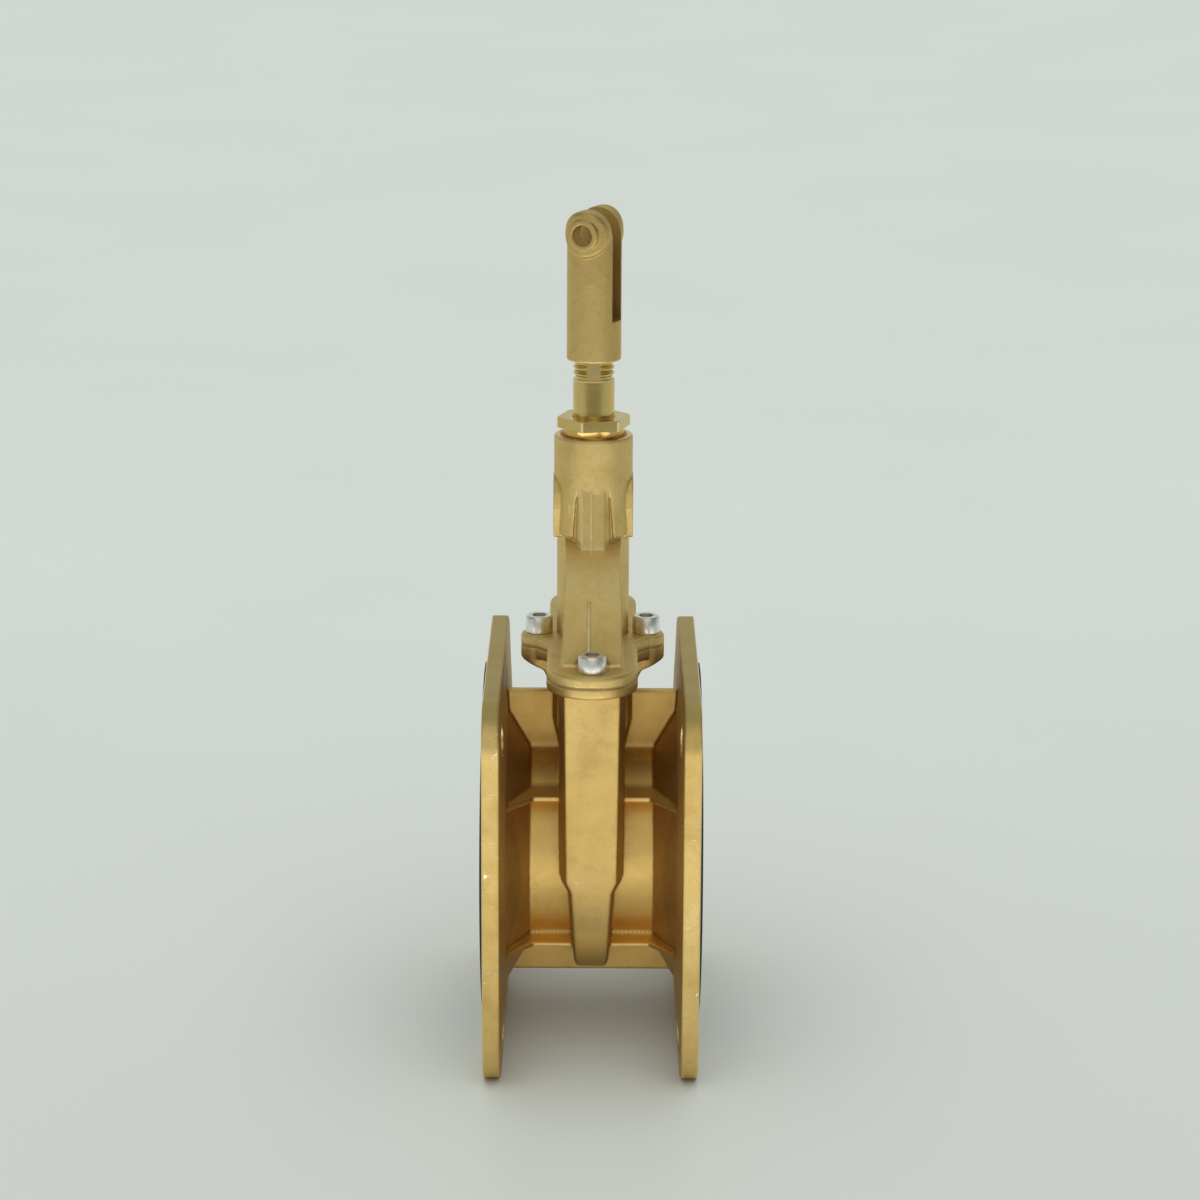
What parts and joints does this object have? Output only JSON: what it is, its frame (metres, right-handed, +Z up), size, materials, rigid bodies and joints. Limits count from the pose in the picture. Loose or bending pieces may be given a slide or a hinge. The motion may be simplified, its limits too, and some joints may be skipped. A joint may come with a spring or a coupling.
{
  "type": "slide gate valve",
  "caption": "Brass slide gate valve with square flanges, an arched bonnet and a rising stem that ends in a slotted fork for a lever or cylinder.",
  "frame": {"origin": "middle of the footprint, on the surface the flanges stand on; the bore axis is 113 mm above it", "axes": "+X along the flow bore, +Z up the stem, -Y the side that faces the camera in the picture"},
  "size_m": [0.127, 0.23, 0.492],
  "materials": {
    "cast_brass": "blasted casting, satin",
    "machined_brass": "turned, semi-bright",
    "stainless": "plain stainless",
    "black_rubber": "smooth black rubber",
    "white_ptfe": "smooth PTFE"
  },
  "bodies": {
    "housing": {"valve_body": "cast_brass", "bonnet": "cast_brass", "gland_nut": "machined_brass", "gland_follower": "machined_brass", "stem_bush": "machined_brass", "packing_washer": "machined_brass", "bonnet_screws": "stainless", "left_flange_gasket": "black_rubber", "right_flange_gasket": "black_rubber", "left_seat_oring": "black_rubber", "right_seat_oring": "black_rubber", "edge_seal": "black_rubber", "bonnet_gasket": "black_rubber", "stem_oring": "black_rubber", "left_seat_ring": "white_ptfe", "right_seat_ring": "white_ptfe", "packing_ring_lower": "white_ptfe", "packing_ring_middle": "white_ptfe", "packing_ring_upper": "white_ptfe"},
    "slide_gate": {"gate": "cast_brass"},
    "stem_and_fork": {"stem": "machined_brass", "fork": "cast_brass"}
  },
  "joints": [
    {"name": "gate_slide", "type": "slide", "parent": "housing", "child": "slide_gate", "axis": [0, 0, 1], "range_m": [0, 0.108]},
    {"name": "stem_swivel", "type": "hinge", "parent": "slide_gate", "child": "stem_and_fork", "pos_m": [0, 0, 0.181], "axis": [0, 0, 1], "continuous": true}
  ]
}
